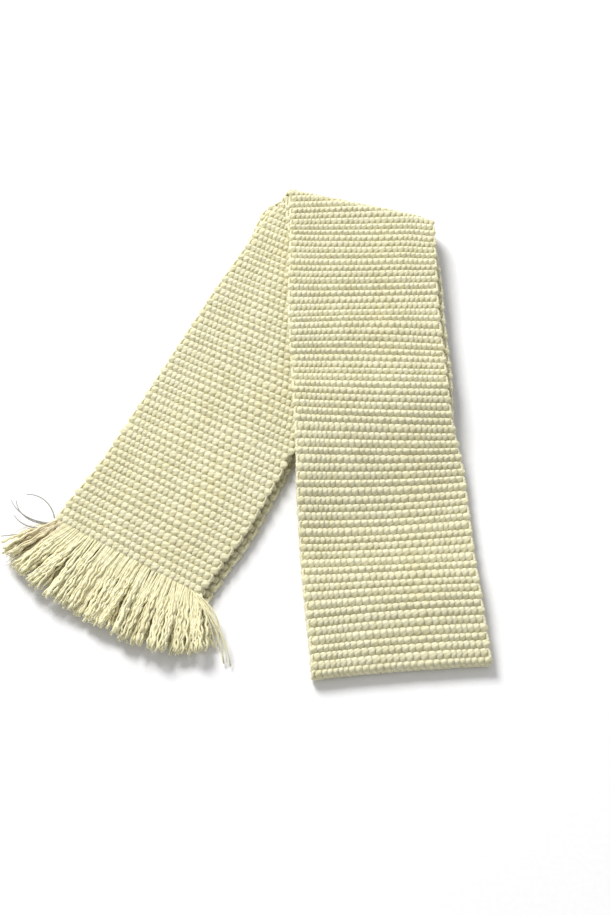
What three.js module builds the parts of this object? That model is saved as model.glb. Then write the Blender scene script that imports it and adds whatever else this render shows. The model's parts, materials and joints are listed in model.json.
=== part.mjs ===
// A woven martial arts belt laid flat: doubled at its middle, then folded over once on the slant.
// The band runs upper fringe, upper end, inner top fold, lower run of the loop, mid fold, upper
// run of the loop, outer top fold, lower end, lower fringe. Millimetres, +Z up, origin at the
// bottom centre of the whole belt. Each node is one stretch of the band, one bound edge or one
// tuft of fringe.
import * as THREE from 'three';
import { mergeVertices } from 'three/addons/utils/BufferGeometryUtils.js';

// Band
const BAND_WIDTH = 40;
const BAND_THICKNESS = 1.7;
const LAYER_PITCH = 2;          // height from one layer to the next
const SPLIT_GAP = 0.3;          // gap between nodes that are one cloth on the real belt
const SELVEDGE_WIDTH = 1.5;

// Lay of the belt on its table
const END_LEG_TURN = 29.5;      // degrees that the ends' leg turns from -Y towards -X
const LOOP_LEG_TURN = 3.2;      // degrees that the loop's leg turns from -Y towards +X
const UPPER_END_LENGTH = 113;   // top fold axis to fringe line
const LOWER_END_LENGTH = 114.2;
const LOOP_LENGTH = 127.5;      // top fold axis to the outside of the mid fold
const RAMP_START = 70;          // where the loop comes down off the ends, to lie on the table
const RAMP_LENGTH = 20;
const END_CREASE = 74;          // where both ends bend up together
const UPPER_END_CREASE = 84;    // where the upper end bends up alone
const LOWER_END_DRIFT = 0.024;  // sideways creep of the lower end, per millimetre of length
const LOOP_LOWER_SHIFT = 1.6;   // how far the loop's lower run stands out at its right, at the top

// Fringe
const FRINGE_SKEW = 4.9;        // degrees from square across the band
const FRINGE_LENGTH = 17;
const TUFTS = 8;
const FAN_CENTRE = 8;           // degrees, towards the loop's side
const FAN_HALF_SPREAD = 38;
const TUFT_TIP_FRACTION = 0.55; // thickness left at a tuft's tip
const THREAD_RADIUS = 0.35;
const LOOSE_THREADS = 3;
const THREAD_STEP_UP = 0.9;     // each loose thread lies this much above the last
const THREAD_ROOT = 1;          // from the band's end to the first loose thread, along the fringe
const THREAD_SPACING = 2.2;     // and from one to the next
const THREAD_REACH = 9;
const THREAD_REACH_STEP = 1.5;  // each is this much shorter than the last
const THREAD_START = [0.8, -0.2];                           // out from the fringe, and up
const THREAD_COURSE = [[0.45, 0.25], [0.8, 0.7], [0.75, 1.15]];  // then the same, by its reach

const ARC_SEGMENTS = 16;
const TUFT_SEGMENTS = 3;
const THREAD_SIDES = 8;
const THREAD_SEGMENTS = 12;

const radians = THREE.MathUtils.degToRad;
const halfAngle = radians((END_LEG_TURN + LOOP_LEG_TURN) / 2);
const foldTurn = radians((END_LEG_TURN - LOOP_LEG_TURN) / 2);
const foldLine = new THREE.Vector3(Math.cos(foldTurn), -Math.sin(foldTurn), 0);
const towardsLegs = new THREE.Vector3(-Math.sin(foldTurn), -Math.cos(foldTurn), 0);
const foldAxisHeight = BAND_THICKNESS / 2 + 1.5 * LAYER_PITCH;
const OUTER_RADIUS = 1.5 * LAYER_PITCH;
const INNER_RADIUS = 0.5 * LAYER_PITCH;
const midFoldHeight = BAND_THICKNESS / 2 + INNER_RADIUS;
const midFoldDistance = LOOP_LENGTH - INNER_RADIUS - BAND_THICKNESS / 2;
const loopDrop = 2 * LAYER_PITCH;

const cream = { color: 0xe3dfb9, roughness: 0.92, metalness: 0 };
const edgeCream = { color: 0xd9d4ab, roughness: 0.94, metalness: 0 };
const threadCream = { color: 0xe6e2c2, roughness: 0.9, metalness: 0 };

// A point of the band: along it from the middle of the top fold (ends negative, loop positive),
// across it, and out from the fold axis. It bends round the top fold on the given radius.
function bandPoint(along, across, out, radius) {
  const side = along * Math.sin(halfAngle) + across * Math.cos(halfAngle);
  const travel = along * Math.cos(halfAngle) - across * Math.sin(halfAngle);
  const quarter = radius * Math.PI / 2;
  const beyond = Math.max(Math.abs(travel) - quarter, 0);
  const angle = THREE.MathUtils.clamp(travel, -quarter, quarter) / radius;
  const point = foldLine.clone().multiplyScalar(side);
  point.addScaledVector(towardsLegs, beyond - (radius + out) * Math.cos(angle));
  point.z = foldAxisHeight + (radius + out) * Math.sin(angle);
  return point;
}

// How far along the flat band a distance from the fold axis along a leg's centre lies
const alongFor = (distance, radius) => distance + radius * Math.PI / 2 * Math.cos(halfAngle);

// A closed solid from a unit box, whose corners and steps are moved by place(u, v, w), with u
// from 0 to 1 along it, v from -0.5 to 0.5 across it and w from -0.5 to 0.5 through it.
function warpedBox(steps, place) {
  const box = new THREE.BoxGeometry(1, 1, 1, steps, 1, 1);
  box.deleteAttribute('normal');
  box.deleteAttribute('uv');
  const solid = mergeVertices(box);
  const position = solid.getAttribute('position');
  for (let i = 0; i < position.count; i += 1) {
    const point = place(position.getX(i) + 0.5, position.getY(i), position.getZ(i));
    position.setXYZ(i, point.x, point.y, point.z);
  }
  faceOutwards(solid);
  solid.computeVertexNormals();
  return solid;
}

function faceOutwards(solid) {
  const position = solid.getAttribute('position');
  const index = solid.getIndex();
  const [a, b, c] = [new THREE.Vector3(), new THREE.Vector3(), new THREE.Vector3()];
  let volume = 0;
  for (let i = 0; i < index.count; i += 3) {
    a.fromBufferAttribute(position, index.getX(i));
    b.fromBufferAttribute(position, index.getX(i + 1));
    c.fromBufferAttribute(position, index.getX(i + 2));
    volume += a.dot(b.cross(c));
  }
  if (volume > 0) return;
  for (let i = 0; i < index.count; i += 3) {
    const second = index.getX(i + 1);
    index.setX(i + 1, index.getX(i + 2));
    index.setX(i + 2, second);
  }
}

const belt = new THREE.Group();

function addNode(name, geometry, finish) {
  const mesh = new THREE.Mesh(geometry, new THREE.MeshStandardMaterial(finish));
  mesh.name = name;
  belt.add(mesh);
}

// The three strips across the band's width: the cloth and its two bound edges
const edge = BAND_WIDTH / 2;
const clothEdge = edge - SELVEDGE_WIDTH - SPLIT_GAP;
const strips = [
  { suffix: '', low: -clothEdge, high: clothEdge, finish: cream },
  { suffix: '_selvedge_left', low: -edge, high: -edge + SELVEDGE_WIDTH, finish: edgeCream },
  { suffix: '_selvedge_right', low: edge - SELVEDGE_WIDTH, high: edge, finish: edgeCream },
];

// How far a layer has crept sideways at a distance along its leg
const shiftAt = (layer, distance) => (layer.shift ? layer.shift(distance) : 0);

// Where a cut { distance, skew } across a layer meets one line along the cloth
const cutAt = (layer, cut, across) =>
  cut.distance + (across + shiftAt(layer, cut.distance)) * Math.tan(cut.skew ?? 0);

// A run of one layer, from one cut to another
function addRun(name, run) {
  const steps = run.steps ?? 1;
  for (const strip of strips) {
    const geometry = warpedBox(steps, (u, v, w) => {
      const across = THREE.MathUtils.lerp(strip.low, strip.high, v + 0.5);
      const distance = THREE.MathUtils.lerp(cutAt(run, run.from, across), cutAt(run, run.to, across), u);
      const shifted = across + shiftAt(run, distance);
      const along = run.leg * alongFor(distance, run.radius);
      const point = bandPoint(along, shifted, w * BAND_THICKNESS, run.radius);
      if (run.leg > 0) point.z -= loopDrop * rampFraction(distance);
      return point;
    });
    addNode(name + strip.suffix, geometry, strip.finish);
  }
}

const rampFraction = (distance) =>
  THREE.MathUtils.smootherstep(distance, RAMP_START, RAMP_START + RAMP_LENGTH);

const halfGap = SPLIT_GAP / 2;
const foldGap = halfGap / Math.cos(halfAngle);
const cutBefore = (distance, skew) => ({ distance: distance - halfGap, skew });
const cutAfter = (distance, skew) => ({ distance: distance + halfGap, skew });

// The fold line crosses each leg on the slant, in opposite senses on the two legs. A wider bend
// takes up more of the band, so its cut lies further along.
const foldCut = (leg, radius) => ({
  distance: foldGap + radius * Math.PI / 2 * Math.sin(halfAngle) * Math.tan(halfAngle),
  skew: leg * halfAngle,
});
const fringeSkew = radians(FRINGE_SKEW);

// The two ends
const lowerDrift = (distance) => LOWER_END_DRIFT * distance;
const lower = { leg: -1, radius: OUTER_RADIUS, shift: lowerDrift };
const upper = { leg: -1, radius: INNER_RADIUS };
addRun('lower_end', { ...lower, from: foldCut(-1, OUTER_RADIUS), to: cutBefore(END_CREASE) });
addRun('lower_flap', {
  ...lower, from: cutAfter(END_CREASE), to: cutBefore(LOWER_END_LENGTH, fringeSkew),
});
addRun('upper_end', { ...upper, from: foldCut(-1, INNER_RADIUS), to: cutBefore(END_CREASE) });
addRun('upper_end_middle', {
  ...upper, from: cutAfter(END_CREASE), to: cutBefore(UPPER_END_CREASE),
});
addRun('upper_flap', {
  ...upper, from: cutAfter(UPPER_END_CREASE), to: cutBefore(UPPER_END_LENGTH, fringeSkew),
});

// The loop: two runs joined at the mid fold, over the ends near the top fold and on the table
// further down
const loopShift = (distance) => LOOP_LOWER_SHIFT * (1 - distance / midFoldDistance);
const loopEnd = { distance: midFoldDistance - SPLIT_GAP };
const loopSteps = 48;
addRun('loop_upper', {
  leg: 1, radius: OUTER_RADIUS, from: foldCut(1, OUTER_RADIUS), to: loopEnd, steps: loopSteps,
});
addRun('loop_lower', {
  leg: 1, radius: INNER_RADIUS, from: foldCut(1, INNER_RADIUS), to: loopEnd, steps: loopSteps,
  shift: loopShift,
});

// Half rings of cloth at the top fold, one nested in the other
function addTopFold(name, radius) {
  const quarter = radius * Math.PI / 2;
  addNode(name, warpedBox(ARC_SEGMENTS, (u, v, w) => {
    const across = v * BAND_WIDTH;
    const travel = THREE.MathUtils.lerp(-quarter, quarter, u);
    const along = (travel + across * Math.sin(halfAngle)) / Math.cos(halfAngle);
    return bandPoint(along, across, w * BAND_THICKNESS, radius);
  }), cream);
}
addTopFold('outer_top_fold', OUTER_RADIUS);
addTopFold('inner_top_fold', INNER_RADIUS);

// The half ring at the middle of the belt, square across the loop's far end
const loopTurn = radians(LOOP_LEG_TURN);
const loopAway = new THREE.Vector3(Math.sin(loopTurn), -Math.cos(loopTurn), 0);
const loopAcross = new THREE.Vector3(Math.cos(loopTurn), Math.sin(loopTurn), 0);
const outerOffset = OUTER_RADIUS * Math.PI / 2 * Math.sin(halfAngle);
addNode('mid_fold', warpedBox(ARC_SEGMENTS, (u, v, w) => {
  const angle = THREE.MathUtils.lerp(0, Math.PI, u);
  const reach = INNER_RADIUS + w * BAND_THICKNESS;
  const point = loopAway.clone().multiplyScalar(midFoldDistance + reach * Math.sin(angle));
  point.addScaledVector(loopAcross, v * BAND_WIDTH + outerOffset);
  point.z = midFoldHeight - reach * Math.cos(angle);
  return point;
}), cream);

// Fringes: tufts that fan out from the end of each layer
const endTurn = radians(END_LEG_TURN);
const fanAngle = (across) => radians(FAN_CENTRE + FAN_HALF_SPREAD * across / edge);

function fringeRoot(across, layer) {
  const distance = layer.length + across * Math.tan(fringeSkew) + halfGap;
  const shifted = across + shiftAt(layer, distance);
  return bandPoint(-alongFor(distance, layer.radius), shifted, 0, layer.radius);
}

function fringePoint(across, reach, layer) {
  const turn = fanAngle(across) - endTurn;
  const point = fringeRoot(across, layer);
  point.x += reach * Math.sin(turn);
  point.y -= reach * Math.cos(turn);
  return point;
}

function addFringe(name, layer) {
  const tuftWidth = (BAND_WIDTH - SPLIT_GAP * (TUFTS - 1)) / TUFTS;
  for (let i = 0; i < TUFTS; i += 1) {
    const middle = (i + 0.5) * (tuftWidth + SPLIT_GAP) - (BAND_WIDTH + SPLIT_GAP) / 2;
    const geometry = warpedBox(TUFT_SEGMENTS, (u, v, w) => {
      const thickness = BAND_THICKNESS * THREE.MathUtils.lerp(1, TUFT_TIP_FRACTION, u);
      const point = fringePoint(middle + v * tuftWidth, u * FRINGE_LENGTH, layer);
      point.z += w * thickness - (BAND_THICKNESS - thickness) / 2;
      return point;
    });
    addNode(`${name}_tuft_${i + 1}`, geometry, threadCream);
  }
}
const upperLayer = { length: UPPER_END_LENGTH, radius: INNER_RADIUS };
const lowerLayer = { length: LOWER_END_LENGTH, radius: OUTER_RADIUS, shift: lowerDrift };
addFringe('upper_fringe', upperLayer);
addFringe('lower_fringe', lowerLayer);

// Loose threads that curl back past the left corner of the upper fringe
const threadSection = new THREE.Shape();
for (let i = 0; i < THREAD_SIDES; i += 1) {
  const angle = 2 * Math.PI * i / THREAD_SIDES;
  const corner = [THREAD_RADIUS * Math.cos(angle), THREAD_RADIUS * Math.sin(angle)];
  if (i === 0) threadSection.moveTo(...corner);
  else threadSection.lineTo(...corner);
}
for (let i = 0; i < LOOSE_THREADS; i += 1) {
  const height = foldAxisHeight - INNER_RADIUS + (i - 1) * THREAD_STEP_UP;
  const corner = fringePoint(-edge, THREAD_ROOT + THREAD_SPACING * i, upperLayer);
  const reach = THREAD_REACH - THREAD_REACH_STEP * i;
  const points = [THREAD_START, ...THREAD_COURSE.map(([left, up]) => [left * reach, up * reach])];
  const route = new THREE.CatmullRomCurve3(points.map(
    ([left, up]) => new THREE.Vector3(corner.x - left, corner.y + up, height)));
  const thread = new THREE.ExtrudeGeometry(threadSection, { steps: THREAD_SEGMENTS, extrudePath: route });
  addNode(`loose_thread_${i + 1}`, thread, threadCream);
}

// Origin at the bottom centre of the belt
const box = new THREE.Box3().setFromObject(belt);
const centre = box.getCenter(new THREE.Vector3());
belt.position.set(-centre.x, -centre.y, -box.min.z);

export default belt;
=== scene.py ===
"""A woven martial arts belt, lying doubled and folded over once on the slant, with fringed ends.

Every yarn is a tube of its own: 54 warp ends that dive over and under the weft's ribs, the weft's turns
along both edges, and the fringe that the warp ends untwist into. Lengths are millimetres until
build_piece() scales them to metres. The belt's flat coordinates are g along it, q across it, positive to
the right when looking from the ends towards the top fold, and m out of its face.
"""
import json
import math

import bpy
import numpy as np
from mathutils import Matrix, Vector


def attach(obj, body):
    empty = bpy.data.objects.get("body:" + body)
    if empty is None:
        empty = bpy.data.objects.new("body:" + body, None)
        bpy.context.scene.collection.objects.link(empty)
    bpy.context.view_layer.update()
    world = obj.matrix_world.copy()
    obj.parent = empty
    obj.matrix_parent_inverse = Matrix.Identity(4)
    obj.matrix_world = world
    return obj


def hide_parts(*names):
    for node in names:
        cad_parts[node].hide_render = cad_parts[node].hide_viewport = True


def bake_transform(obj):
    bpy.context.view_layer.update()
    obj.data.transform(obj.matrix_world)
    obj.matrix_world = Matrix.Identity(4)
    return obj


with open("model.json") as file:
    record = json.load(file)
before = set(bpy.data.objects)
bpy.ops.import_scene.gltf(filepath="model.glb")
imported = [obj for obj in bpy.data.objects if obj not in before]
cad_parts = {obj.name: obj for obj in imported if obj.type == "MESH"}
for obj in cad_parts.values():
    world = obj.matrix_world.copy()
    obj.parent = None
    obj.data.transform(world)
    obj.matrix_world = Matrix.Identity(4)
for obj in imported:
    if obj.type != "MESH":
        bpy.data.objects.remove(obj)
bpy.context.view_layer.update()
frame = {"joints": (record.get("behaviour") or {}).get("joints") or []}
joints = {joint["name"]: joint for joint in frame["joints"]}

MM = 0.001

# ---------------------------------------------------------------- the belt's sizes, in millimetres
LAYER_PITCH = 2.0
LAYER_MIDDLE = 0.90          # height of the lowest layer's middle, so that its yarns just touch the table
OUTER, INNER = 1.5 * LAYER_PITCH, 0.5 * LAYER_PITCH      # radii of the two nested top folds
FOLD_REACH = 1.85            # from the top folds' axis to the outside of the inner one
LOOP_LENGTH = 125.6          # top fold axis to the mid fold's axis
RAMP_START, RAMP_LENGTH = 59.0, 34.0
LOOP_SPLIT = 48.0            # where the loop's rigid tail begins, short of the ramp
END_CREASE, UPPER_CREASE = 74.0, 84.0
UPPER_LENGTH, LOWER_LENGTH = 113.4, 114.6
BLEND_LENGTH = 8.0

WARP_ENDS = 54
RIB_PITCH = 1.97
WARP_SPAN = 38.9             # across all the warp ends; the weft's turns stand outside them
CRIMP = 0.53                 # how far a warp end's middle rises over a weft rib
FACE_LIMIT = 0.90            # pressed flat beyond this, so that layers that lie together stay apart
RIB_STEPS = np.array([0.0, 0.18, 0.5, 0.82])     # where along a rib a warp end has a ring
RISE = np.array([0.0, 0.64, 1.0, 0.64])          # its height there, as a share of the crimp
HALF_WIDTH = np.array([0.42, 0.86, 0.98, 0.86])  # and its half sizes: pinched in the groove
HALF_HEIGHT = np.array([0.27, 0.29, 0.34, 0.29])
YARN_SIDES = 8
LOOSE_SIDES = 6              # of the loose yarns and the weft's turns
UNEVEN = 0.045               # spread of the weave's small differences, as a share
TUCK = 0.12                  # how far, in ribs, a stretch's warp reaches into the next stretch
TURN_REACH = 19.30           # from the band's middle to where a turn of the weft leaves the edge
TURN_BULGE = 0.36
TURN_START = 18.6            # where it comes out from between the warp ends
TURN_RADIUS = 0.38

# ---------------------------------------------------------------- where the legs lie, from the joints
top_joint = joints["top_fold"]
fold_line = -np.array(top_joint["axis"])
towards_legs = np.array([fold_line[1], -fold_line[0], 0.0])
# The nested top folds bend about this line; they open about the inner one's outside.
FOLD = np.array(top_joint["pos_m"]) / MM + FOLD_REACH * towards_legs
crease_axis = np.array(joints["ends_lift"]["axis"])
end_away = np.array([-crease_axis[1], crease_axis[0], 0.0])
end_across = np.array([-end_away[1], end_away[0], 0.0])
HALF_ANGLE = math.acos(float(end_away @ towards_legs))
loop_away = 2 * (end_away @ towards_legs) * towards_legs - end_away
loop_across = np.array([-loop_away[1], loop_away[0], 0.0])
SIN, COS = math.sin(HALF_ANGLE), math.cos(HALF_ANGLE)
MIDDLE = LAYER_MIDDLE + 1.5 * LAYER_PITCH    # height that the four layers are stacked about


def smooth(x, low, high):
    """0 below low, 1 above high, and a smooth step between them."""
    t = np.clip((np.asarray(x, float) - low) / (high - low), 0, 1)
    return t * t * (3 - 2 * t)


def bump(x, centre, spread):
    return np.exp(-((x - centre) / spread) ** 2)


def along(distance, radius):
    """Flat distance from the top fold's middle to a distance from its axis, along a leg."""
    return distance + radius * math.pi / 2 * COS


# ---------------------------------------------------------------- the lay of the cloth
KINK = 46.0                  # the loop leg has a crease across it here
FOLD_SLIP = -1.35            # the cloth lies this far along the fold line from the axis's middle
NEST = (OUTER - INNER) * math.pi / 2 * SIN   # the outer strip comes out of the fold this far ahead


def loop_drift(d):
    """Sideways lie of the loop's upper run at a distance from the fold."""
    return -2.0 * smooth(d, 0, 38) + 0.75 * smooth(d, 58, 80) + 0.9 * smooth(d, 98, 126)


def loop_peek(d):
    """How far the loop's lower run stands out to the right of the upper one."""
    return 1.4 * (smooth(d, 5, 28) - smooth(d, 48, 75))


def end_drift(d):
    """Sideways lie of the upper end, which starts to the left and ends under its own fringe."""
    return -1.5 * smooth(d, -3, 7) + 0.045 * np.maximum(d - 7, 0) - 1.7 * smooth(d, 92, 112)


def end_peek(d):
    """How far the lower end stands out to the right of the upper one."""
    return -0.6 - 2.0 * (1 - smooth(d, 6, 24)) + 2.3 * smooth(d, 25, 110)


def loop_width(d):
    return 0.957 + 0.058 * smooth(d, 60, 84)


def end_width(d):
    return 0.957 + 0.055 * smooth(d, 5, 40)


def loop_rib_shift(d, q):
    """How far each rib of the loop leg leans down to the right, and bows, at a distance from the fold."""
    lean = (0.036 + 0.034 * smooth(d, 32, 44) - 0.083 * smooth(d, 60, 84)
            + 0.024 * bump(d, 103, 8) - 0.014 * smooth(d, 104, 116))
    bow = (-0.55 * (1 - smooth(d, 22, 34)) + 0.45 * bump(d, 41, 7)
           - 0.42 * (smooth(d, 50, 60) - smooth(d, 94, 108)) + 0.45 * smooth(d, 100, 114))
    return lean * q + bow * (q / 20) ** 2


def end_rib_shift(d, q):
    """How far each rib of the ends leans, at a distance from the fold."""
    return (-0.045 + 0.040 * smooth(d, 50, 110)) * q


def ramp_height(d, across):
    """Height of the loop over the table where it lies on the ends. Its right side has less under it."""
    start = RAMP_START - 0.42 * across
    return 2 * LAYER_PITCH * (1 - smooth(d, start, start + RAMP_LENGTH))


def loop_lift(d, q):
    """Soft waves across the loop leg, on both sides of the crease."""
    waves = 0.75 * bump(d, KINK - 8, 6) + 0.85 * bump(d, KINK + 10, 8) + 0.5 * bump(d, 20, 9)
    tail = 1.1 * bump(d, 108, 9)
    return (waves + tail) * (0.85 + 0.15 * np.sin(q / 9 + d / 17))


def end_lift(d, q):
    """Soft waves along the ends."""
    waves = 0.4 * bump(d, 95, 12)
    return waves * (0.8 + 0.2 * np.sin(q / 8 + 1))


def strip(g, q, m, radius):
    """A point of the outer or inner strip, round the top fold. g is negative on the ends' leg."""
    g, q, m = np.broadcast_arrays(*(np.asarray(x, float) for x in (g, q, m)))
    outer = radius == OUTER
    on_loop = g * COS - q * SIN > 0
    d = np.where(on_loop, g, -g) - radius * math.pi / 2 * COS
    settled = smooth(np.abs(g * COS - q * SIN), 0, 8)
    skew = np.where(on_loop, loop_rib_shift(d, q), end_rib_shift(d, q)) * smooth(d, 0, 12)
    loop_side = loop_drift(d) + (0 if outer else NEST * smooth(d, 0, 12) + loop_peek(d))
    end_side = end_drift(d) + (NEST + end_peek(d) if outer else 0)
    g = g + np.where(on_loop, skew, -skew)
    q = q * np.where(on_loop, loop_width(d), end_width(d)) + np.where(on_loop, loop_side, end_side) * settled
    side = g * SIN + q * COS + FOLD_SLIP
    travel = g * COS - q * SIN
    quarter = radius * math.pi / 2
    beyond = np.maximum(np.abs(travel) - quarter, 0)
    angle = np.clip(travel, -quarter, quarter) / radius
    reach = radius + (m if outer else -m)
    slack = (0.45 * side / 20 + 0.9 * smooth(side, 13, 20.5)) * (1 - smooth(beyond, 0, 25))
    flat = (side[..., None] * fold_line
            + (beyond - reach * np.cos(angle) + slack)[..., None] * towards_legs)
    away = np.maximum(flat @ loop_away, 0)
    lift = np.where(on_loop, loop_lift(away, q) * smooth(d, 2, 12), end_lift(flat @ end_away, q))
    drop = ramp_height(away, flat @ loop_across) - 2 * LAYER_PITCH
    lift = lift + np.where(on_loop & (beyond > 0), drop, 0)
    flat[..., :2] += FOLD[:2]
    flat[..., 2] = MIDDLE + reach * np.sin(angle) + lift
    return flat


def loop_tail(g, q, m):
    """A point of the loop's far part. g is 0 at the mid fold, negative below and positive above."""
    g, q, m = np.broadcast_arrays(*(np.asarray(x, float) for x in (g, q, m)))
    quarter = INNER * math.pi / 2
    beyond = np.maximum(np.abs(g) - quarter, 0)
    angle = np.clip(g, -quarter, quarter) / INNER
    reach = INNER + m
    flat_d = LOOP_LENGTH - beyond
    d = flat_d + reach * np.cos(angle) + loop_rib_shift(flat_d, q) + FOLD_SLIP * float(fold_line @ loop_away)
    below = 1 - smooth(angle, -math.pi / 2, math.pi / 2)
    nested = OUTER * math.pi / 2 * SIN + FOLD_SLIP * float(fold_line @ loop_across)
    across = q * loop_width(flat_d) + nested + loop_drift(flat_d) + loop_peek(flat_d) * below
    flat = d[..., None] * loop_away + across[..., None] * loop_across
    flat[..., :2] += FOLD[:2]
    lift = ramp_height(d, across) + loop_lift(d, across)
    flat[..., 2] = LAYER_MIDDLE + INNER + reach * np.sin(angle) + lift
    return flat


# ---------------------------------------------------------------- mesh building
def build_piece(name, tubes, turns=None, attributes=None):
    """One mesh of closed tubes: tubes is (count, rings, sides, 3), in millimetres. turns holds each ring's
    length along its yarn, for the twist. A ring's sides pair up across it, which closes the tube's ends."""
    count, rings, sides, _ = tubes.shape
    vertex = np.arange(count * rings * sides).reshape(count, rings, sides)
    here, there = vertex[:, :-1], vertex[:, 1:]
    walls = np.stack([here, np.roll(here, -1, 2), np.roll(there, -1, 2), there], -1).reshape(-1, 4)
    j = np.arange(sides // 2 - 1)
    pairs = np.stack([j, j + 1, sides - 2 - j, sides - 1 - j], -1)
    first, last = vertex[:, 0][:, pairs[:, ::-1]], vertex[:, -1][:, pairs]
    quads = np.concatenate([walls, first.reshape(-1, 4), last.reshape(-1, 4)])
    points = tubes.reshape(-1, 3)
    corner = points[quads] - points.mean(0)
    volume = np.einsum("ij,ij->", corner[:, 0] + corner[:, 2],
                       np.cross(corner[:, 1] - corner[:, 0], corner[:, 2] - corner[:, 0])
                       + np.cross(corner[:, 2] - corner[:, 0], corner[:, 3] - corner[:, 0]))
    around = np.tile(np.arange(sides), (count, rings, 1)) / sides
    lengths = np.arange(rings, dtype=float) if turns is None else turns
    lengths = np.broadcast_to(lengths, (count, rings))[..., None] * np.ones(sides)
    wall_count = len(walls)
    u = around.reshape(-1)[quads]
    u[:wall_count, 1:3] += np.where(u[:wall_count, 1:3] < u[:wall_count, [0, 3]], 1.0, 0.0)
    uv = np.stack([u, lengths.reshape(-1)[quads]], -1)
    if volume < 0:
        quads, uv = quads[:, ::-1], uv[:, ::-1]

    mesh = bpy.data.meshes.new(name)
    mesh.vertices.add(len(points))
    mesh.vertices.foreach_set("co", (points * MM).astype(np.float32).ravel())
    mesh.loops.add(quads.size)
    mesh.loops.foreach_set("vertex_index", quads.astype(np.int32).ravel())
    mesh.polygons.add(len(quads))
    mesh.polygons.foreach_set("loop_start", np.arange(0, quads.size, 4, dtype=np.int32))
    mesh.update(calc_edges=True)
    mesh.uv_layers.new(name="yarn").data.foreach_set("uv", uv.astype(np.float32).ravel())
    for key, values in (attributes or {}).items():
        layer = mesh.attributes.new(key, "FLOAT", "POINT")
        values = np.broadcast_to(values, (count, rings, sides))
        layer.data.foreach_set("value", values.astype(np.float32).ravel())
    mesh.shade_smooth()
    piece = bpy.data.objects.new(name, mesh)
    bpy.context.scene.collection.objects.link(piece)
    return piece


def ring_angles(sides):
    return (np.arange(sides) + 0.5) * 2 * math.pi / sides


def tube_along(paths, radius):
    """Tubes round paths (count, rings, 3), with radius by tube and ring. They stay level, for loose yarn."""
    tangent = np.gradient(paths, axis=1)
    tangent /= np.linalg.norm(tangent, axis=-1, keepdims=True)
    side = np.cross(tangent, [0.0, 0.0, 1.0])
    side /= np.maximum(np.linalg.norm(side, axis=-1, keepdims=True), 1e-6)
    up = np.cross(side, tangent)
    angle = ring_angles(LOOSE_SIDES)
    radius = np.broadcast_to(radius, paths.shape[:2])[..., None, None]
    ring = side[:, :, None] * np.cos(angle)[:, None] + up[:, :, None] * np.sin(angle)[:, None]
    return paths[:, :, None] + radius * ring


# ---------------------------------------------------------------- the weave
def unevenness(g, q):
    """Slow wander of the weave, the same for the yarns that lie together, from -1 to 1."""
    return (np.sin(g / 11.3 + q / 7.1) + np.sin(g / 5.7 - q / 4.3 + 2) + np.sin(g / 23 + q / 13 + 4)) / 3


def pillow(x):
    """Fills out a round section a little towards its corners."""
    return np.sign(x) * np.abs(x) ** 0.8


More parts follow.
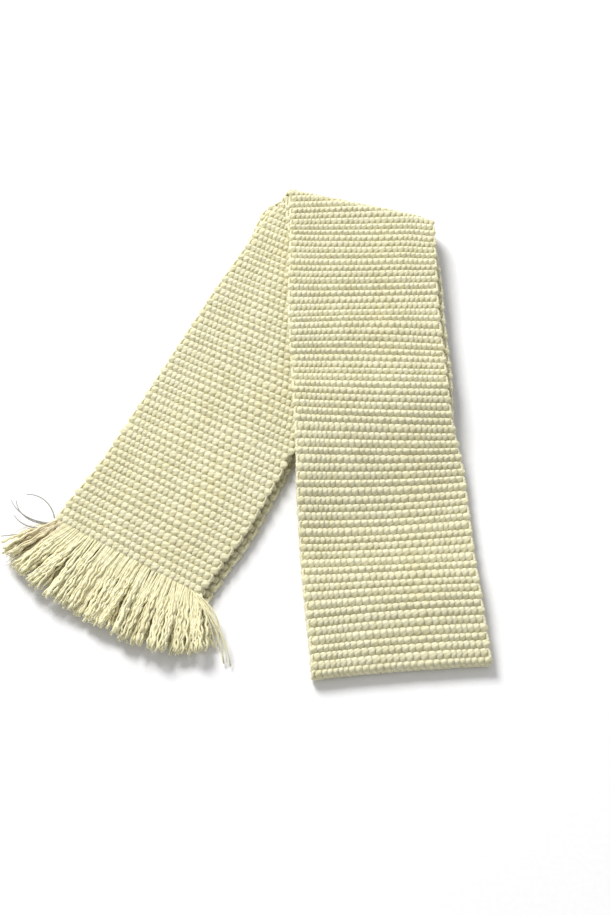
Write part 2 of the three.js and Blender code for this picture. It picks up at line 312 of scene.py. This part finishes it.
class Weave:
    """One stretch of the band, from g_from to g_to, of a whole number of ribs counted on from first_rib.
    fold is the direction (along, across) square to the fold it goes round, where the weave is taut."""

    def __init__(self, name, place, g_from, g_to, first_rib, seed, fold):
        self.name, self.place, self.g_from, self.g_to = name, place, g_from, g_to
        self.first_rib, self.fold = first_rib, fold
        self.ribs = max(1, round(abs(g_to - g_from) / RIB_PITCH))
        self.random = np.random.default_rng(seed)
        jitter = self.random.normal(0, UNEVEN, self.ribs + 1)
        jitter[[0, -1]] = 0
        self.grooves = np.arange(self.ribs + 1) + jitter
        self.next_rib = first_rib + self.ribs

    def g_at(self, rib):
        """Flat length at a rib count from this stretch's start, with the ribs' small differences."""
        rib = np.asarray(rib, float)
        uneven = np.interp(rib, np.arange(self.ribs + 1), self.grooves) + rib - np.clip(rib, 0, self.ribs)
        return self.g_from + (self.g_to - self.g_from) * uneven / self.ribs

    def warp(self, suffix, shed, ends_random):
        """Every second warp end, as tubes. shed is 0 or 1. Ends share their look along the whole band."""
        rib = np.append((np.arange(self.ribs)[:, None] + RIB_STEPS).ravel(), self.ribs)
        step = np.append(np.tile(np.arange(len(RIB_STEPS)), self.ribs), 0)
        rib = np.concatenate([[-TUCK], rib, [self.ribs + TUCK]])
        step = np.concatenate([[0], step, [0]])
        ends = np.arange(shed, WARP_ENDS, 2)
        q = ends_q[ends] + ends_random["shift"][ends]
        face = np.where((np.floor(rib) + self.first_rib + shed) % 2 == 0, 1.0, -1.0)
        g = self.g_at(rib)[None, :] + 0 * q[:, None]
        wander = unevenness(g, q[:, None])
        rib_random = self.random.normal(0, UNEVEN, (len(ends), len(rib)))
        sideways = self.random.normal(0, UNEVEN, (len(ends), len(rib)))
        taut = 1 - 0.45 * bump(g * self.fold[0] - q[:, None] * self.fold[1], 0, 2.5)
        m = CRIMP * taut * (face * RISE[step]) * (1 + 0.05 * wander + rib_random)
        size = ends_random["size"][ends][:, None] * (1 + rib_random)
        half_width, half_height = HALF_WIDTH[step] * size, HALF_HEIGHT[step] * np.sqrt(size)
        angle = np.arange(YARN_SIDES) * 2 * math.pi / YARN_SIDES
        ring_q = (q[:, None] + 0.10 * wander + sideways)[..., None]
        ring_q = ring_q + half_width[..., None] * pillow(np.cos(angle))
        ring_m = m[..., None] + half_height[..., None] * pillow(np.sin(angle))
        ring_m = np.clip(ring_m, -FACE_LIMIT, FACE_LIMIT)
        tubes = self.place(g[..., None], ring_q, ring_m)
        lengths = (rib + self.first_rib) * RIB_PITCH
        # lit_share is how far the yarn stands out from the band's middle: low in the grooves it gets painted
        # shade, on the crowns the lit colour.
        shade = {"tint": ends_random["tint"][ends][:, None, None] + 0.35 * wander[..., None],
                 "lit_share": (np.abs(ring_m) / FACE_LIMIT).clip(0, 1)}
        return build_piece(f"{self.name}_{suffix}", tubes, lengths, shade)

    def weft(self):
        """The ribs inside: one closed sheet, thick along each pick of the weft and thin in the grooves."""
        rib = np.arange(self.ribs * 4 + 1) / 4
        half = 0.12 + 0.22 * np.abs(np.sin(math.pi * rib))
        q = np.linspace(-WARP_SPAN / 2 - 0.1, WARP_SPAN / 2 + 0.1, 13)
        ring_q = np.concatenate([q, q[::-1]])
        side = np.concatenate([np.ones(len(q)), -np.ones(len(q))])
        g = self.g_at(rib)
        tubes = self.place(g[:, None], ring_q[None, :], half[:, None] * side[None, :])[None]
        return build_piece(f"{self.name}_weft", tubes, None, {"tint": 0.0, "lit_share": 0.35})

    def turns(self):
        """The weft's turns round the outermost warp ends: every second rib, by turns left and right."""
        rows = []
        for k in range(self.ribs - 1):
            edge = 1 if (k + self.first_rib) % 2 else -1
            t = np.linspace(0, math.pi, 9)
            reach = TURN_REACH + TURN_BULGE * np.sin(t) ** 0.5 + self.random.normal(0, 0.04)
            rib = k + 1 - (0.80 + self.random.normal(0, 0.04)) * np.cos(t)
            path_q = np.concatenate([[TURN_START], reach, [TURN_START]]) * edge
            path_rib = np.concatenate([[rib[0]], rib, [rib[-1]]])
            rows.append((path_rib, path_q))
        rib, q = (np.array(values) for values in zip(*rows))
        angle = ring_angles(LOOSE_SIDES)
        radius = TURN_RADIUS * (1 + self.random.normal(0, 0.06, rib.shape))
        radius[:, [0, -1]] *= 0.6
        g = self.g_at(rib)
        tangent = np.stack([np.gradient(g, axis=1), np.gradient(q, axis=1)], -1)
        tangent /= np.linalg.norm(tangent, axis=-1, keepdims=True)
        normal = np.stack([-tangent[..., 1], tangent[..., 0]], -1)
        ring_g = g[..., None] + (radius * normal[..., 0])[..., None] * np.cos(angle)
        ring_q = q[..., None] + (radius * normal[..., 1])[..., None] * np.cos(angle)
        ring_m = 1.6 * radius[..., None] * np.sin(angle) + 0 * ring_g
        tubes = self.place(ring_g, ring_q, ring_m)
        lengths = np.cumsum(np.full(rib.shape[1], 0.6))
        # The turns carry a little painted shade.
        return build_piece(f"{self.name}_turns", tubes, lengths, {"tint": 0.2, "lit_share": 0.8})


def end_places():
    """Where each warp end lies across the band. They stand closer together in some parts of the reed."""
    share = (np.arange(WARP_ENDS) + 0.5) / WARP_ENDS
    crowding = 0.016 * np.sin(2 * math.pi * share + 2.6) + 0.006 * np.sin(6 * math.pi * share)
    place = share + crowding
    low, high = place[0], place[-1]
    inset = 0.5 / WARP_ENDS
    return (inset + (place - low) / (high - low) * (1 - 2 * inset) - 0.5) * WARP_SPAN


ends_source = np.random.default_rng(11)
ends_q = end_places()
ends_random = {
    "shift": ends_source.normal(0, 0.05, WARP_ENDS),
    "size": np.gradient(ends_q) * WARP_ENDS / WARP_SPAN * (1 + ends_source.normal(0, 0.05, WARP_ENDS)),
    "tint": ends_source.normal(0, 0.5, WARP_ENDS),
}


# ---------------------------------------------------------------- materials
def new_material(name):
    material = bpy.data.materials.new(name)
    material.use_nodes = True
    tree = material.node_tree
    return material, tree.nodes, tree.links, tree.nodes["Principled BSDF"]


def math_node(nodes, links, operation, a, b=None):
    node = nodes.new("ShaderNodeMath")
    node.operation = operation
    for socket, value in ((0, a), (1, b)):
        if value is None:
            continue
        if isinstance(value, (int, float)):
            node.inputs[socket].default_value = value
        else:
            links.new(value, node.inputs[socket])
    return node.outputs[0]


def mix_colour(nodes, links, factor, a, b, blend="MIX"):
    node = nodes.new("ShaderNodeMix")
    node.data_type = "RGBA"
    node.blend_type = blend
    for socket, value in ((0, factor), (6, a), (7, b)):
        if isinstance(value, (int, float)):
            node.inputs[socket].default_value = value
        elif isinstance(value, tuple):
            node.inputs[socket].default_value = (*value, 1)
        else:
            links.new(value, node.inputs[socket])
    return node.outputs[2]


def noise(nodes, links, vector, scale, detail=2.0):
    node = nodes.new("ShaderNodeTexNoise")
    node.inputs["Scale"].default_value = scale
    node.inputs["Detail"].default_value = detail
    links.new(vector, node.inputs["Vector"])
    return node.outputs["Fac"]


def attribute(nodes, name):
    node = nodes.new("ShaderNodeAttribute")
    node.attribute_name = name
    return node.outputs["Fac"]


def cotton(name, light, shaded, tan=None, plies=3.0, twist_pitch=1.1, twist_depth=0.00008,
           softness=0.5):
    """Soft cotton yarn: plies that spiral round each tube, fuzz, slow and fine changes of cream, and painted
    shade in the grooves and between the plies.
    """
    material, nodes, links, shader = new_material(name)
    coordinates = nodes.new("ShaderNodeTexCoord").outputs["Object"]
    uv = nodes.new("ShaderNodeUVMap")
    uv.uv_map = "yarn"
    parts = nodes.new("ShaderNodeSeparateXYZ")
    links.new(uv.outputs["UV"], parts.inputs[0])
    spiral = math_node(nodes, links, "MULTIPLY", parts.outputs["X"], plies)
    travel = math_node(nodes, links, "MULTIPLY", parts.outputs["Y"], 1 / twist_pitch)
    phase = math_node(nodes, links, "MULTIPLY", math_node(nodes, links, "ADD", spiral, travel), 2 * math.pi)
    ply = math_node(nodes, links, "MULTIPLY_ADD", math_node(nodes, links, "SINE", phase), 0.5)
    ply.node.inputs[2].default_value = 0.5

    slow = noise(nodes, links, coordinates, 45.0)
    patch = noise(nodes, links, coordinates, 420.0)
    fuzz = noise(nodes, links, coordinates, 5200.0, 3.0)
    lit_share = attribute(nodes, "lit_share")
    tint = attribute(nodes, "tint")
    # Painted shade: the shaded colour where the yarn lies low in the grooves, the lit colour on its crowns.
    colour = mix_colour(nodes, links, lit_share, shaded, light)
    warm = tuple(c * k for c, k in zip(light, (1.0, 0.965, 0.87)))
    pale = tuple(min(1.0, c * k) for c, k in zip(light, (1.03, 1.03, 1.04)))
    sway = math_node(nodes, links, "MULTIPLY_ADD", tint, 0.16)
    links.new(slow, sway.node.inputs[2])
    shade = nodes.new("ShaderNodeValToRGB")
    shade.color_ramp.elements[0].position = 0.25
    shade.color_ramp.elements[0].color = (*warm, 1)
    shade.color_ramp.elements[1].position = 0.75
    shade.color_ramp.elements[1].color = (*pale, 1)
    links.new(sway, shade.inputs[0])
    colour = mix_colour(nodes, links, 0.5, colour, shade.outputs[0])
    speck = nodes.new("ShaderNodeValToRGB")
    speck.color_ramp.elements[0].position = 0.3
    speck.color_ramp.elements[0].color = (0.86, 0.85, 0.80, 1)
    speck.color_ramp.elements[1].position = 0.62
    speck.color_ramp.elements[1].color = (1, 1, 1, 1)
    links.new(patch, speck.inputs[0])
    colour = mix_colour(nodes, links, 0.7, colour, speck.outputs[0], "MULTIPLY")
    # Painted shade in the valleys between the plies, on top of their bump.
    ply_shade = nodes.new("ShaderNodeValToRGB")
    ply_shade.color_ramp.elements[0].color = (0.80, 0.79, 0.72, 1)
    ply_shade.color_ramp.elements[1].position = 0.5
    ply_shade.color_ramp.elements[1].color = (1, 1, 1, 1)
    links.new(ply, ply_shade.inputs[0])
    colour = mix_colour(nodes, links, 0.75, colour, ply_shade.outputs[0], "MULTIPLY")
    if tan:
        colour = mix_colour(nodes, links, attribute(nodes, "tan"), colour, tan)
    links.new(colour, shader.inputs["Base Color"])

    rough = math_node(nodes, links, "MULTIPLY_ADD", fuzz, 0.14)
    rough.node.inputs[2].default_value = 0.80
    links.new(rough, shader.inputs["Roughness"])
    ply_bump = nodes.new("ShaderNodeBump")
    ply_bump.inputs["Distance"].default_value = twist_depth
    ply_bump.inputs["Strength"].default_value = 0.8
    links.new(ply, ply_bump.inputs["Height"])
    fuzz_bump = nodes.new("ShaderNodeBump")
    fuzz_bump.inputs["Distance"].default_value = 0.0001
    fuzz_bump.inputs["Strength"].default_value = 0.7
    links.new(fuzz, fuzz_bump.inputs["Height"])
    links.new(ply_bump.outputs[0], fuzz_bump.inputs["Normal"])
    links.new(fuzz_bump.outputs[0], shader.inputs["Normal"])
    shader.inputs["Subsurface Weight"].default_value = softness
    shader.inputs["Subsurface Radius"].default_value = (1.0, 1.0, 0.95)
    shader.inputs["Subsurface Scale"].default_value = 0.001
    shader.inputs["Sheen Weight"].default_value = 0.02
    shader.inputs["Sheen Roughness"].default_value = 0.5
    shader.inputs["Sheen Tint"].default_value = (1.0, 0.98, 0.9, 1)
    shader.inputs["Specular IOR Level"].default_value = 0.03
    return material


CREAM = (0.79, 0.76, 0.54)
# Painted shade colour of the yarn where it lies down in the grooves.
SHADED_CREAM = (0.75, 0.71, 0.48)
EDGE_CREAM = (0.78, 0.75, 0.54)
FRINGE_CREAM = (0.91, 0.875, 0.615)
# Painted shade colour for the fringe's threads, by their roots.
SHADED_FRINGE_CREAM = (0.85, 0.805, 0.52)
TAN = (0.64, 0.49, 0.30)
GREY = (0.34, 0.33, 0.30)
warp_cotton = cotton("warp_cotton", CREAM, SHADED_CREAM)
# The weft lies down in the grooves, so it is painted in the shaded cream all over.
weft_cotton = cotton("weft_cotton", SHADED_CREAM, SHADED_CREAM, plies=2.0)
edge_cotton = cotton("edge_cotton", EDGE_CREAM, SHADED_CREAM, plies=2.0, twist_pitch=0.9)
fringe_cotton = cotton("fringe_cotton", FRINGE_CREAM, SHADED_FRINGE_CREAM, tan=TAN,
                       plies=2.0, twist_pitch=1.6, twist_depth=0.00004, softness=0.15)
grey_cotton = cotton("grey_cotton", CREAM, SHADED_CREAM, tan=GREY, plies=2.0, twist_pitch=1.6, softness=0.1)


# ---------------------------------------------------------------- how pieces move
def point_on(direction, distance, height):
    """A point on a leg's centre line, in metres."""
    point = FOLD + np.array([*direction[:2], 0.0]) * distance
    return (point[0] * MM, point[1] * MM, height * MM)


def bend_at_fold(radius):
    """The bodies either side of the top fold, and two points on its axis, from under its bend to over it."""
    gap = radius - FACE_LIMIT - 0.04
    low, high = (MIDDLE - gap, MIDDLE + gap) if radius == OUTER else (MIDDLE - 0.06, MIDDLE + 0.06)
    return ("near_ends", "loop", point_on(end_away, 0, low), point_on(end_away, 0, high))


def bend_at_crease(a, b, distance):
    return (a, b, point_on(end_away, distance, 0), point_on(end_away, distance + BLEND_LENGTH, 0))


def dress(piece, material, moves):
    """Material, slot and body for one piece. moves is a body to attach the piece to; otherwise the piece
    only has its transform baked in.
    """
    piece.data.materials.append(material)
    if isinstance(moves, str):
        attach(piece, moves)
    else:
        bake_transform(piece)
    return piece


def add_stretch(weave, moves, nodes, selvedges):
    """A stretch of the band: two sheds of warp, the ribs inside and the turns at its edges."""
    sheds = [dress(weave.warp(suffix, shed, ends_random), warp_cotton, moves)
             for shed, suffix in enumerate(("warp_odd", "warp_even"))]
    ribs = dress(weave.weft(), weft_cotton, moves)
    turns = dress(weave.turns(), edge_cotton, moves)
    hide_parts(*nodes)
    sides = ("_selvedge_left", "_selvedge_right")
    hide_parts(*[node + side for node in selvedges for side in sides])
    return ribs, [*sheds, turns], abs(weave.g_to - weave.g_from)


# ---------------------------------------------------------------- the band, from the upper fringe on
def inner_place(g, q, m):
    return strip(g, q, m, INNER)


def outer_place(g, q, m):
    return strip(g, q, m, OUTER)


def make_band():
    """The six stretches of the band, in order from the upper fringe to the lower one."""
    tail = LOOP_LENGTH - LOOP_SPLIT + INNER * math.pi / 2
    plan = [
        ("upper_tip", inner_place, -along(UPPER_LENGTH, INNER), -along(UPPER_CREASE, INNER),
         bend_at_crease("end_pair", "upper_tip", UPPER_CREASE), ["upper_flap"], ["upper_flap"]),
        ("upper_middle", inner_place, -along(UPPER_CREASE, INNER), -along(END_CREASE, INNER),
         bend_at_crease("near_ends", "end_pair", END_CREASE), ["upper_end_middle"], ["upper_end_middle"]),
        ("inner_band", inner_place, -along(END_CREASE, INNER), along(LOOP_SPLIT, INNER),
         bend_at_fold(INNER), ["upper_end", "inner_top_fold"], ["upper_end"]),
        ("loop_tail", loop_tail, -tail, tail,
         "loop", ["loop_lower", "loop_upper", "mid_fold"], ["loop_lower", "loop_upper"]),
        ("outer_band", outer_place, along(LOOP_SPLIT, OUTER), -along(END_CREASE, OUTER),
         bend_at_fold(OUTER), ["lower_end", "outer_top_fold"], ["lower_end"]),
        ("lower_flap_cloth", outer_place, -along(END_CREASE, OUTER), -along(LOWER_LENGTH, OUTER),
         bend_at_crease("near_ends", "end_pair", END_CREASE), ["lower_flap"], ["lower_flap"]),
    ]
    stretches = {}
    rib = 0
    for seed, (name, place, g_from, g_to, moves, nodes, selvedges) in enumerate(plan):
        fold = (1.0, 0.0) if place is loop_tail else (COS, SIN)
        weave = Weave(name, place, g_from, g_to, rib, 100 + seed, fold)
        rib = weave.next_rib
        stretches[name] = add_stretch(weave, moves, nodes, selvedges)
    return stretches


# ---------------------------------------------------------------- the fringes
THREADS_PER_END = 6
FRINGE_RINGS = 17
FRINGE_REACH = 18.3          # a middle thread's length, and how much less it is at the edges
FRINGE_ROUNDING = 3.8
TUFTS = 8                    # of each fringe in the frame
LOWEST_THREAD = 0.40         # height of a thread's middle where it lies on the table
BRUSH_FIBRES = 110
STRAY_THREADS = 12
FIBRE_RINGS = 9
CURL_RINGS = 28


def on_end(d, q, z):
    """Points over the ends' leg: d away from the top fold, q across and z over the table."""
    d, q, z = np.broadcast_arrays(d, q, z)
    flat = d[..., None] * end_away + q[..., None] * end_across
    flat[..., :2] += FOLD[:2]
    flat[..., 2] = z
    return flat


def fan_angle(x):
    """Turn of the fringe's threads from the leg's direction, with x from -1 to 1 across the band."""
    return np.radians(3 + 14 * x + 12 * x ** 3 + 8 * x ** 5)


def make_fringe(name, length, radius, tip_heights, shorter, seed):
    """Each warp end untwists into a clump of threads. They fan out, crinkled from the weave."""
    random = np.random.default_rng(seed)
    shape = (WARP_ENDS, THREADS_PER_END)
    x = ends_q / (WARP_SPAN / 2)
    g = np.full(WARP_ENDS, -along(length, radius) + 0.6)
    root = strip(g, ends_q, 0.0, radius) - np.array([*FOLD[:2], 0.0])
    root_d, root_q, root_z = root @ end_away, root @ end_across, root[:, 2]
    t = np.linspace(0, 1, FRINGE_RINGS)
    loosened = smooth(t, 0.12, 0.45)

    def each_end(values):
        return values[:, None, None]

    def each_thread(low, high):
        return random.uniform(low, high, shape)[..., None]

    turn = each_end(fan_angle(x) + random.normal(0, 0.05, WARP_ENDS))
    turn = turn + random.normal(0, 0.05, shape)[..., None]
    reach = each_end(FRINGE_REACH - shorter - FRINGE_ROUNDING * x ** 4 + random.normal(0, 0.25, WARP_ENDS))
    s = reach * each_thread(0.94, 1.02) * t
    twist = each_thread(0, 2 * math.pi) + 1.6 * each_end(random.normal(0, 1, WARP_ENDS)) * t
    spread = (0.22 + 0.30 * loosened) * each_thread(0.4, 1.3)
    crinkle = np.sin(2 * math.pi * s / each_thread(2.7, 4.2) + each_thread(0, 6.3)) * loosened
    sway = each_thread(-0.5, 0.5) * np.sin(math.pi * t) + each_end(random.normal(0, 0.3, WARP_ENDS)) * t ** 2
    across = sway + spread * np.cos(twist) + 0.25 * crinkle
    settle = smooth(t, 0.05, 1.05)
    tip = each_end(random.uniform(*tip_heights, WARP_ENDS)) + each_thread(-0.35, 0.35)
    height = each_end(root_z) * (1 - settle) + tip * settle + 0.45 * np.sin(math.pi * t)
    height = height + 0.8 * spread * np.sin(twist) + 0.14 * crinkle
    cos, sin = np.cos(turn), np.sin(turn)
    d = each_end(root_d) + s * cos - across * sin
    q = each_end(root_q) + s * sin + across * cos
    rings = (WARP_ENDS * THREADS_PER_END, FRINGE_RINGS)
    path = on_end(d, q, np.maximum(height, LOWEST_THREAD)).reshape(*rings, 3)
    size = (each_thread(0.21, 0.33) * (1 + 0.08 * crinkle) * (0.9 + 0.1 * loosened)).reshape(rings)
    corner = each_end(np.maximum(0, 1 - np.abs(x + 0.96) / 0.14))
    corner = corner * smooth(t, 0, 0.15) * (1 - smooth(t, 0.5, 1))
    tan = (0.8 * corner * each_thread(0.3, 1)).reshape(rings)
    flecks = (0.3 * (random.uniform(0, 1, shape) > 0.93)[..., None] * smooth(t, 0.2, 0.5)).reshape(rings)
    # Painted shade: the threads are darker by their roots at the band and lighter towards their raised tips.
    shade = {"tint": (each_thread(-1.5, 1.5) + 0 * s).reshape(rings)[..., None],
             "lit_share": (0.7 + 0.3 * smooth(t, 0, 0.6))[None, :, None],
             "tan": np.maximum(tan, flecks)[..., None]}
    return build_piece(name, tube_along(path, size), s.reshape(rings), shade)


def make_fine_fibres():
    """A brush of fine tan fibres at the upper fringe's left corner, and a few stray threads at its right."""
    random = np.random.default_rng(31)
    t = np.linspace(0, 1, FIBRE_RINGS)
    at = random.uniform(0, 1, BRUSH_FIBRES)[:, None]
    bend = random.normal(0, 0.5, BRUSH_FIBRES)[:, None] * np.sin(math.pi * t)
    d = 113.8 + 2.8 * at + (8.0 + 2.6 * at + random.normal(0, 1.1, BRUSH_FIBRES)[:, None]) * t + bend
    q = -19.6 + 0.6 * at - (5.8 - 1.6 * at + random.normal(0, 0.8, BRUSH_FIBRES)[:, None]) * t + bend
    z = 2.6 + random.uniform(-0.9, 0.9, BRUSH_FIBRES)[:, None] - 0.5 * t
    brush = tube_along(on_end(d, q, z), (random.uniform(0.07, 0.12, BRUSH_FIBRES)[:, None] * (1 - 0.4 * t)))
    at = random.uniform(0, 1, STRAY_THREADS)[:, None]
    bend = random.normal(1.3, 0.5, STRAY_THREADS)[:, None] * np.sin(math.pi * t)
    d = 113.6 + (5.5 + 5.5 * at) * t - 0.3 * bend
    q = 18.4 - 1.5 * at + (9.5 + 6.5 * at ** 2 + random.normal(0, 0.8, STRAY_THREADS)[:, None]) * t + bend
    z = 2.7 + random.uniform(-0.6, 0.6, STRAY_THREADS)[:, None] * (1 - t)
    z = z + 1.1 * np.sin(math.pi * t) - 1.9 * t ** 2
    stray = tube_along(on_end(d, q, z), random.uniform(0.13, 0.2, STRAY_THREADS)[:, None] * (1 - 0.3 * t))
    # The brush and the stray threads carry a little painted shade.
    shade = {"tint": 0.0, "lit_share": 0.7,
             "tan": np.concatenate([0.55 * np.ones(BRUSH_FIBRES), np.zeros(STRAY_THREADS)])[:, None, None]}
    return build_piece("fine_fibres", np.concatenate([brush, stray]), 12 * t, shade)


# The curled fibres by the left corner. Each is an arc: where along the band it starts, its first and last
# headings in degrees from straight out of the edge towards the fringe, and its length.
CURLS = (
    (114.0, -50, 25, 10.0),
    (115.0, 45, -50, 11.5),
    (115.0, 35, -35, 12.0),
    (116.0, 55, -30, 9.5),
    (117.0, 50, 30, 10.5),
)
CURL_ROOT = -20.4            # across the band, just outside its left edge


def make_loose_threads():
    """Thin fibres that curl back past the left corner of the upper fringe."""
    t = np.linspace(0, 1, CURL_RINGS)
    courses = []
    for start, first, last, length in CURLS:
        heading = np.radians(first + (last - first) * t)
        step = length / (len(t) - 1)
        d = start + step * np.cumsum(np.sin(heading))
        q = CURL_ROOT - step * np.cumsum(np.cos(heading))
        courses.append(on_end(d, q, 3.1 + 0.9 * np.sin(math.pi * t * 0.8)))
    tubes = tube_along(np.array(courses), 0.17 * (1 - 0.4 * t))
    return build_piece("curled_threads", tubes, t * 18, {"tint": -1.0, "lit_share": 0.0, "tan": 1.0})


def fringe_moves(joint_name, body_a, body_b):
    """The fringe's two bodies, and two points from its own fringe line over its first millimetres."""
    joint = joints[joint_name]
    start = Vector(joint["pos_m"])
    axis = Vector(joint["axis"])
    outwards = Vector((-axis.y, axis.x, 0)).normalized()
    return (body_a, body_b, tuple(start), tuple(start + outwards * 0.005))


def make_fringes():
    upper = dress(make_fringe("upper_fringe_threads", UPPER_LENGTH, INNER, (2.3, 4.1), 0.0, 21),
                  fringe_cotton,
                  fringe_moves("upper_fringe_lift", "upper_tip", "upper_fringe"))
    lower = dress(make_fringe("lower_fringe_threads", LOWER_LENGTH, OUTER, (0.5, 1.1), 4.2, 22),
                  fringe_cotton,
                  fringe_moves("lower_fringe_lift", "end_pair", "lower_fringe"))
    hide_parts(*[f"upper_fringe_tuft_{i + 1}" for i in range(TUFTS)])
    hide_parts(*[f"lower_fringe_tuft_{i + 1}" for i in range(TUFTS)])
    curls = dress(make_loose_threads(), grey_cotton, "upper_fringe")
    fibres = dress(make_fine_fibres(), fringe_cotton, "upper_fringe")
    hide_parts("loose_thread_1", "loose_thread_2", "loose_thread_3")
    return [upper, curls, fibres], [lower]


stretches = make_band()
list(make_fringes())


# ---------------------------------------------------------------- floor, light and camera
def make_floor():
    size = 1.2
    mesh = bpy.data.meshes.new("table_top")
    corners = [(-size, -size, 0), (size, -size, 0), (size, size, 0), (-size, size, 0)]
    mesh.from_pydata(corners, [], [(0, 1, 2, 3)])
    floor = bpy.data.objects.new("table_top", mesh)
    bpy.context.scene.collection.objects.link(floor)
    material, nodes, links, shader = new_material("white_cloth_table")
    coordinates = nodes.new("ShaderNodeTexCoord").outputs["Object"]
    grain = noise(nodes, links, coordinates, 900.0, 4.0)
    ramp = nodes.new("ShaderNodeValToRGB")
    ramp.color_ramp.elements[0].color = (0.82, 0.82, 0.83, 1)
    ramp.color_ramp.elements[1].color = (0.88, 0.88, 0.89, 1)
    links.new(grain, ramp.inputs[0])
    links.new(ramp.outputs[0], shader.inputs["Base Color"])
    shader.inputs["Roughness"].default_value = 0.95
    shader.inputs["Specular IOR Level"].default_value = 0.1
    mesh.materials.append(material)


def make_lamp(name, location, target, size, watts, colour=(1, 1, 1)):
    lamp = bpy.data.lights.new(name, "AREA")
    lamp.shape = "DISK"
    lamp.size = size
    lamp.energy = watts
    lamp.color = colour
    holder = bpy.data.objects.new(name, lamp)
    holder.location = location
    holder.rotation_euler = (Vector(target) - Vector(location)).to_track_quat("-Z", "Y").to_euler()
    bpy.context.scene.collection.objects.link(holder)


def make_light():
    world = bpy.data.worlds.new("soft_room")
    world.use_nodes = True
    background = world.node_tree.nodes["Background"]
    background.inputs["Color"].default_value = (1, 1, 1, 1)
    background.inputs["Strength"].default_value = 0.54
    bpy.context.scene.world = world
    make_lamp("window", (-0.44, 0.74, 0.80), (0, 0, 0), 0.5, 16.6, (1.0, 0.998, 0.99))
    bpy.context.scene.view_settings.view_transform = "Standard"
    bpy.context.scene.view_settings.look = "None"


def make_camera():
    """305 mm over the table, in front of the belt, looking down at 61 degrees."""
    camera = bpy.data.cameras.new("camera")
    camera.lens = 56.26
    camera.sensor_width = 36
    camera.sensor_fit = "AUTO"
    holder = bpy.data.objects.new("camera", camera)
    holder.location = (FOLD[0] * MM - 0.0149, FOLD[1] * MM - 0.2398, 0.305)
    holder.rotation_euler = (math.radians(90 - 61), 0, 0)
    bpy.context.scene.collection.objects.link(holder)
    bpy.context.scene.camera = holder


make_floor()
make_light()
make_camera()
